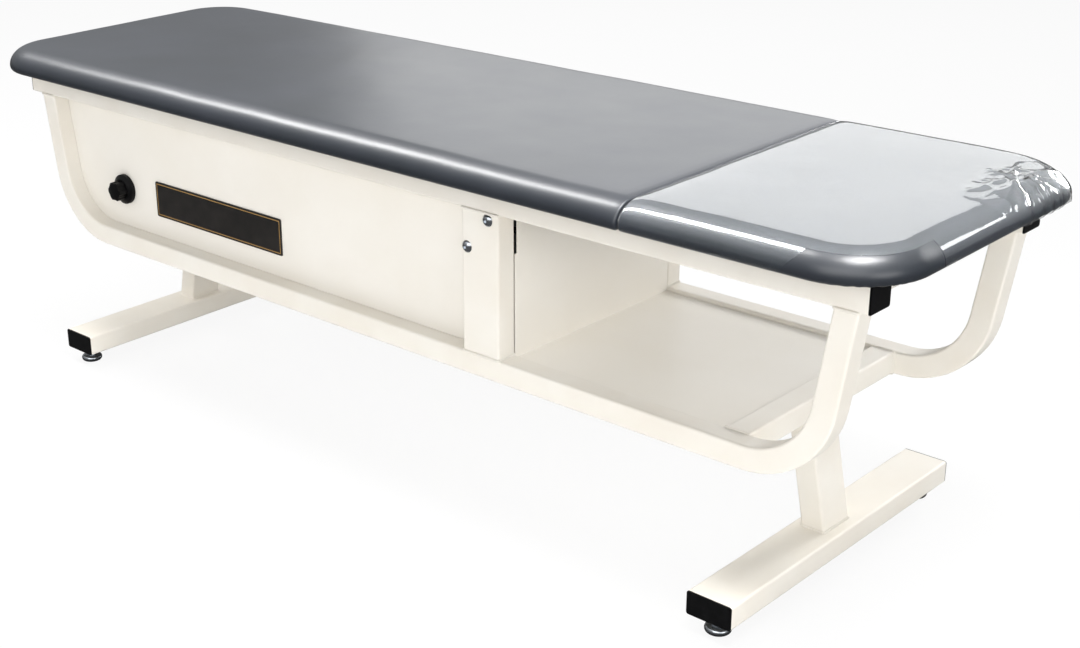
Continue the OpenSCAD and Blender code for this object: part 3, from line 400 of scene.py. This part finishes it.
# Control box, motor and gearbox: a box in grey hammer paint, a motor in dark grey enamel and
# a die-cast aluminium gear housing with the matt, slightly pitted skin of the casting.
hammer_paint, tree, shader, place = new_finish("grey_hammer_paint", "#8C9094", 0.38)
dimple = add_node(tree, "TexVoronoi", {"Vector": place, "Scale": 260})
bumped(tree, shader, dimple.outputs["Distance"], 0.0002, 0.4)
dress(hammer_paint, "control_box")

motor_enamel, tree, shader, place = new_finish("dark_grey_enamel", "#3B3E42", 0.4)
runs = add_node(tree, "TexNoise", {"Vector": place, "Scale": 120, "Detail": 2})
bumped(tree, shader, runs.outputs["Fac"], 0.0001, 0.3)
dress(motor_enamel, "drive_motor")

cast_skin, tree, shader, place = new_finish("die_cast_aluminium", "#9EA2A5", 0.5, Metallic=0.9)
pits = add_node(tree, "TexNoise", {"Vector": place, "Scale": 500, "Detail": 3})
bumped(tree, shader, pits.outputs["Fac"], 0.0001, 0.4)
dress(cast_skin, "gearbox")


# Belt and massage rollers: black rubber, matt, a little dusty, the rollers moulded in one
# with a soft skin. The carriage wheels are turned from natural nylon.
rubber, tree, shader, place = new_finish("moulded_rubber", "#252526", 0.62)
dust = add_node(tree, "TexNoise", {"Vector": place, "Scale": 30, "Detail": 6})
coloured(tree, shader, dust.outputs["Fac"], "#212122", "#37373A", start=0.4, end=0.8)
dress(rubber, "drive_belt", "roller_head_front", "roller_head_rear", "roller_foot_front", "roller_foot_rear")

nylon, tree, shader, place = new_finish(
    "turned_nylon", "#D9D4C8", 0.4, Subsurface_Weight=0.1, Subsurface_Scale=0.004
)
turning = add_node(tree, "TexNoise", {"Vector": place, "Scale": 600, "Detail": 2})
bumped(tree, shader, turning.outputs["Fac"], 0.00005, 0.3)
dress(nylon, "wheel_head_front", "wheel_head_rear", "wheel_foot_front", "wheel_foot_rear")


# Boards: 15 mm birch plywood under both cushions, sanded, with straight grain along the
# table. Only their undersides show.
plywood, tree, shader, place = new_finish("birch_plywood", "#C8AC7E", 0.62)
drawn_out = add_node(tree, "Mapping", {"Vector": place, "Scale": (1, 14, 14)}).outputs["Vector"]
figure = add_node(tree, "TexNoise", {"Vector": drawn_out, "Scale": 12, "Detail": 6, "Distortion": 0.6})
coloured(tree, shader, figure.outputs["Fac"], "#B99969", "#D6BD92")
bumped(tree, shader, figure.outputs["Fac"], 0.0002, 0.2)
dress(plywood, "main_board", "foot_board")


# Cushions: upholstery foam on the boards, covered in slate-grey expanded vinyl that is drawn
# down over a rolled edge and stapled below. The skin is satin with a fine leather grain.
board_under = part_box("main_board")[0].z
main_low, main_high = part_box("main_cushion")
foot_low, foot_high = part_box("foot_cushion")
edge_h, roll, tuck, corner_r = 0.041, 0.042, 0.008, 0.115
seam_roll, seam_reach, seam_drop = 0.004, 0.02, 0.0018
corner_steps, roll_steps, tuck_steps, seam_steps = 44, 14, 5, 4
# The roll is raised from a slab this thin
slab_t = 0.0005
grid_pitch, merge_reach, cut_reach = 0.014, 0.0009, 0.00001
# The crown sets in at a share of the edge's height, and the gathers end at another
crown, crown_start = 0.003, 0.6
gather_h, gather_end, gather_waves, gather_scale = 0.0006, 0.3, 44, 30
foam_h, slow_scale, quick_scale = 0.0007, 7.0, 17.0


def share(value):
    """The value as a share, held between 0 and 1."""
    return max(0.0, min(1.0, value))


def sliced(made, at, facing, **settings):
    """Cuts a whole bmesh along a plane, and returns what the cut gives."""
    whole = made.verts[:] + made.edges[:] + made.faces[:]
    return bmesh.ops.bisect_plane(made, geom=whole, plane_co=at, plane_no=facing, **settings)


def rounded_over(pad, faces, width, depth, steps):
    """Insets the faces in steps along a quarter of an ellipse of that width and depth."""
    for i in range(steps):
        start, stop = (math.pi / 2 * k / steps for k in (i, i + 1))
        bmesh.ops.inset_region(
            pad, faces=faces, thickness=width * (math.cos(start) - math.cos(stop)),
            depth=depth * (math.sin(stop) - math.sin(start)), use_boundary=True, use_even_offset=True,
        )


def rolled_pad(seam, end, half):
    """A bmesh of a pad: rolled edge all round its outline, cut off square at the seam."""
    way = 1 if end > seam else -1
    past = seam - way * 2 * corner_r
    pad = bmesh.new()
    outline = ((past, -half), (end, -half), (end, half), (past, half))
    corners = [pad.verts.new((x, y, board_under + tuck)) for x, y in outline]
    pad.faces.new(corners)
    bmesh.ops.bevel(
        pad, geom=corners[1:3], offset=corner_r, offset_type="OFFSET", segments=corner_steps,
        profile=0.5, affect="VERTICES", material=-1,
    )
    pad.faces.ensure_lookup_table()
    base = pad.faces[0]
    base.normal_update()
    if base.normal.z < 0:
        base.normal_flip()
    slab = bmesh.ops.extrude_face_region(pad, geom=[base], use_keep_orig=True)
    top = [f for f in slab["geom"] if isinstance(f, bmesh.types.BMFace)][0]
    bmesh.ops.translate(pad, verts=top.verts, vec=(0, 0, slab_t))
    base.normal_update()
    if base.normal.z > 0:
        base.normal_flip()
        base.normal_update()
    # The upper roll is a quarter of an ellipse, and the tuck below it a quarter of a circle
    rounded_over(pad, [top], roll, edge_h - tuck, roll_steps)
    rounded_over(pad, [base], tuck, tuck, tuck_steps)
    # Cut square just before the seam, then turned in towards it
    cut = sliced(pad, (seam + way * seam_roll, 0, 0), (-way, 0, 0), clear_outer=True)
    rim = [e for e in cut["geom_cut"] if isinstance(e, bmesh.types.BMEdge)]
    closed = bmesh.ops.contextual_create(pad, geom=rim)["faces"]
    bmesh.ops.recalc_face_normals(pad, faces=pad.faces)
    rounded_over(pad, closed, seam_roll, seam_roll, seam_steps)
    return pad


def crowned(pad, seam, end, half):
    """Cuts the pad into a fine grid, then raises its crown, sinks its seam and softens the foam."""
    for low, high, axis in ((min(seam, end), max(seam, end), 0), (-half, half, 1)):
        count = round((high - low) / grid_pitch)
        for i in range(1, count):
            at, facing = [0, 0, 0], [0, 0, 0]
            at[axis], facing[axis] = low + (high - low) * i / count, 1
            sliced(pad, at, facing, dist=cut_reach)
    bmesh.ops.remove_doubles(pad, verts=pad.verts, dist=merge_reach)
    middle, reach = (seam + end) / 2, abs(end - seam) / 2
    for v in pad.verts:
        height = share((v.co.z - board_under) / edge_h)
        along, across = abs(v.co.x - middle) / reach, abs(v.co.y) / half
        if height > crown_start:
            raised = (height - crown_start) / (1 - crown_start)
            v.co.z += crown * share(1 - along**4) * share(1 - across**2.5) * raised
        # Foam is never quite even: slow waves of half a millimetre
        waves = noise.noise(v.co * slow_scale) + noise.noise(v.co * quick_scale) / 2
        v.co.z += foam_h * height * waves
        # Small gathers under the two corners, where the vinyl is drawn in and stapled
        out_x = abs(v.co.x - seam) - (abs(end - seam) - corner_r)
        out_y = abs(v.co.y) - (half - corner_r)
        if out_x > 0 and out_y > 0 and height < gather_end:
            turn = math.atan2(out_y, out_x)
            drawn_in = math.sin(2 * turn) ** 2 * (1 - height / gather_end)
            wave = math.sin(turn * gather_waves + 2 * noise.noise(v.co * gather_scale))
            v.co.z += gather_h * drawn_in * wave
        # Pulled down a little at the seam, where the vinyl turns in
        near = share(1 - abs(v.co.x - seam) / seam_reach)
        v.co.z -= seam_drop * height * near**2
    bmesh.ops.recalc_face_normals(pad, faces=pad.faces)


def finished_mesh(name, made):
    """The mesh that a finished bmesh gives."""
    mesh = bpy.data.meshes.new(name)
    made.to_mesh(mesh)
    made.free()
    return mesh


vinyl, tree, shader, place = new_finish(
    "slate_upholstery_vinyl", "#21272F", 0.38, Coat_Weight=1.0, Coat_Roughness=0.31
)
# Slow cloudy changes of gloss, where hands and cleaning have polished the skin
worn = add_node(tree, "TexNoise", {"Vector": place, "Scale": 6, "Detail": 5, "Roughness": 0.6})
coloured(tree, shader, worn.outputs["Fac"], "#1E242B", "#262B34")
polished(tree, shader, worn.outputs["Fac"], 0.34, 0.44)
# Embossed leather grain: pebbles 1.8 mm across, with finer pores between them
pebble = add_node(tree, "TexVoronoi", {"Vector": place, "Scale": 560}, feature="SMOOTH_F1")
pore = add_node(tree, "TexNoise", {"Vector": place, "Scale": 1500, "Detail": 2})
grain = add_node(tree, "Math", {0: pebble.outputs["Distance"], 1: pore.outputs["Fac"]}, operation="ADD")
# The foam below is a little lumpy, 9 mm from lump to lump, which breaks up a highlight's edge
lump = add_node(tree, "TexNoise", {"Vector": place, "Scale": 110, "Detail": 3})
lumps_and_grain = {0: lump.outputs["Fac"], 1: 2.5, 2: grain.outputs[0]}
skin = add_node(tree, "Math", lumps_and_grain, operation="MULTIPLY_ADD")
bumped(tree, shader, skin.outputs[0], 0.00016, 0.4)

main_pad = rolled_pad(main_high.x, main_low.x, main_high.y)
crowned(main_pad, main_high.x, main_low.x, main_high.y)
main_mesh = finished_mesh("main_cushion_vinyl", main_pad)
main_top = shown_piece("main_cushion_vinyl", main_mesh, vinyl)
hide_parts("main_cushion")

foot_pad = rolled_pad(foot_low.x, foot_high.x, foot_high.y)
crowned(foot_pad, foot_low.x, foot_high.x, foot_high.y)
# The rear corner has been sat on most, and its foam has sunk by some millimetres
sunk_place = Vector((foot_high.x - 0.02, foot_high.y - 0.03))
sunk_reach, sunk_depth = 0.15, 0.008
for v in foot_pad.verts:
    sunk = share(1 - (sunk_place - v.co.xy).length / sunk_reach) ** 2
    v.co.z -= sunk_depth * sunk * share((v.co.z - board_under) / edge_h)
foot_mesh = finished_mesh("foot_cushion_vinyl", foot_pad)
foot_top = shown_piece("foot_cushion_vinyl", foot_mesh, vinyl)
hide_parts("foot_cushion")


# Foot cover: a sheet of clear plasticised vinyl, 0.8 mm, that guards the foot end from shoes.
# It is drawn over the roll and tucked under, and is cut away round the front corner.
cover_low, cover_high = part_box("foot_cover")
# Lifted off the pad and drawn 0.6 mm thick, so that its flat parts stay inside the CAD cover
film_lift, film_t, seam_gap = 0.0004, 0.0006, 0.0012
# The cut-away: how far its slanted edge starts from the end and above the board's underside,
# how far that edge leans over its height, and how wide the cut-away is from the front
cut_back, cut_up, cut_lean, cut_h, cut_wide = 0.155, 0.0037, 0.037, 0.040, 0.150
cut_start = Vector((cover_high.x - cut_back, 0, board_under + cut_up))
slant = Vector((cut_h, 0, -cut_lean)).normalized()
cut_y = cover_low.y + cut_wide
cut_z = board_under + edge_h - tuck / 2
clear_vinyl, tree, shader, place = new_finish(
    "clear_glazing_vinyl", "#F4F6F6", 0.05, IOR=1.58, Transmission_Weight=1.0
)
waviness = add_node(tree, "TexNoise", {"Vector": place, "Scale": 22, "Detail": 2})
bumped(tree, shader, waviness.outputs["Fac"], 0.0006, 0.3)

sheet = bmesh.new()
sheet.from_mesh(foot_mesh)
# Drawn round the rear corner the film doesn't lie flat: it stands off in sharp creases that
# fan out from a point, with short ones between them, and fade sooner towards the head end
fan = Vector((0.935, 0.135, 0.607))
fan_reach, fade_reach, calm_reach = 0.15, 0.14, 0.03
head_squeeze, foot_squeeze, side_squeeze = 2.6, 1.5, 1.1
fold_h, fold_sharpness, turn_scale, out_scale, fold_seed = 0.007, 2.4, 1.7, 5, 3.1
short_h, short_sharpness, short_scale_x, short_scale_y, short_seed = 0.003, 3.0, 34, 22, 4.2
crest_power = 1.5
creased = [e for e in sheet.edges if max((v.co - fan).length for v in e.verts) < fan_reach]
bmesh.ops.subdivide_edges(sheet, edges=creased, cuts=3, use_grid_fill=True)
sheet.normal_update()
for v in sheet.verts:
    off = v.co - fan
    squeeze = head_squeeze if off.x < 0 else foot_squeeze
    spread = Vector((off.x * squeeze, off.y * side_squeeze)).length
    near = share(1 - (spread / fade_reach) ** 2) * share(spread / calm_reach)
    heading = Vector((off.x, off.y, 0)).normalized()
    fold_at = (heading.x * turn_scale + fold_seed, heading.y * turn_scale, spread * out_scale)
    short_at = (v.co.x * short_scale_x, v.co.y * short_scale_y, short_seed)
    fold, short = (abs(noise.noise(Vector(at))) for at in (fold_at, short_at))
    ridge = fold_h * share(1 - fold_sharpness * fold) ** crest_power
    ridge += short_h * share(1 - short_sharpness * short) ** crest_power
    v.co += v.normal * (film_lift + near * ridge)
sliced(sheet, (0, 0, cover_low.z + film_lift), (0, 0, -1), clear_outer=True)
sliced(sheet, (foot_low.x + seam_gap, 0, 0), (-1, 0, 0), clear_outer=True)
for at, facing in ((cut_start, slant), ((0, cut_y, 0), (0, 1, 0)), ((0, 0, cut_z), (0, 0, 1))):
    sliced(sheet, at, facing)


def cut_away(face):
    """Whether this face of the film lies in the cut-away round the front corner."""
    middle = face.calc_center_median()
    return (middle - cut_start).dot(slant) > 0 and middle.y < cut_y and middle.z < cut_z


bmesh.ops.delete(sheet, geom=[f for f in sheet.faces if cut_away(f)], context="FACES")
facing_down = -0.9
under = [f for f in sheet.faces if f.normal.z < facing_down]
bmesh.ops.delete(sheet, geom=under, context="FACES")
for edge in sheet.edges:
    edge.smooth = not edge.is_boundary
sheet_area = sum(f.calc_area() for f in sheet.faces)
cover = shown_piece("clear_foot_cover", finished_mesh("clear_foot_cover", sheet), clear_vinyl)
wall = cover.modifiers.new("wall", "SOLIDIFY")
wall.thickness, wall.offset = film_t, 1
cover.visible_shadow = False
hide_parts("foot_cover")
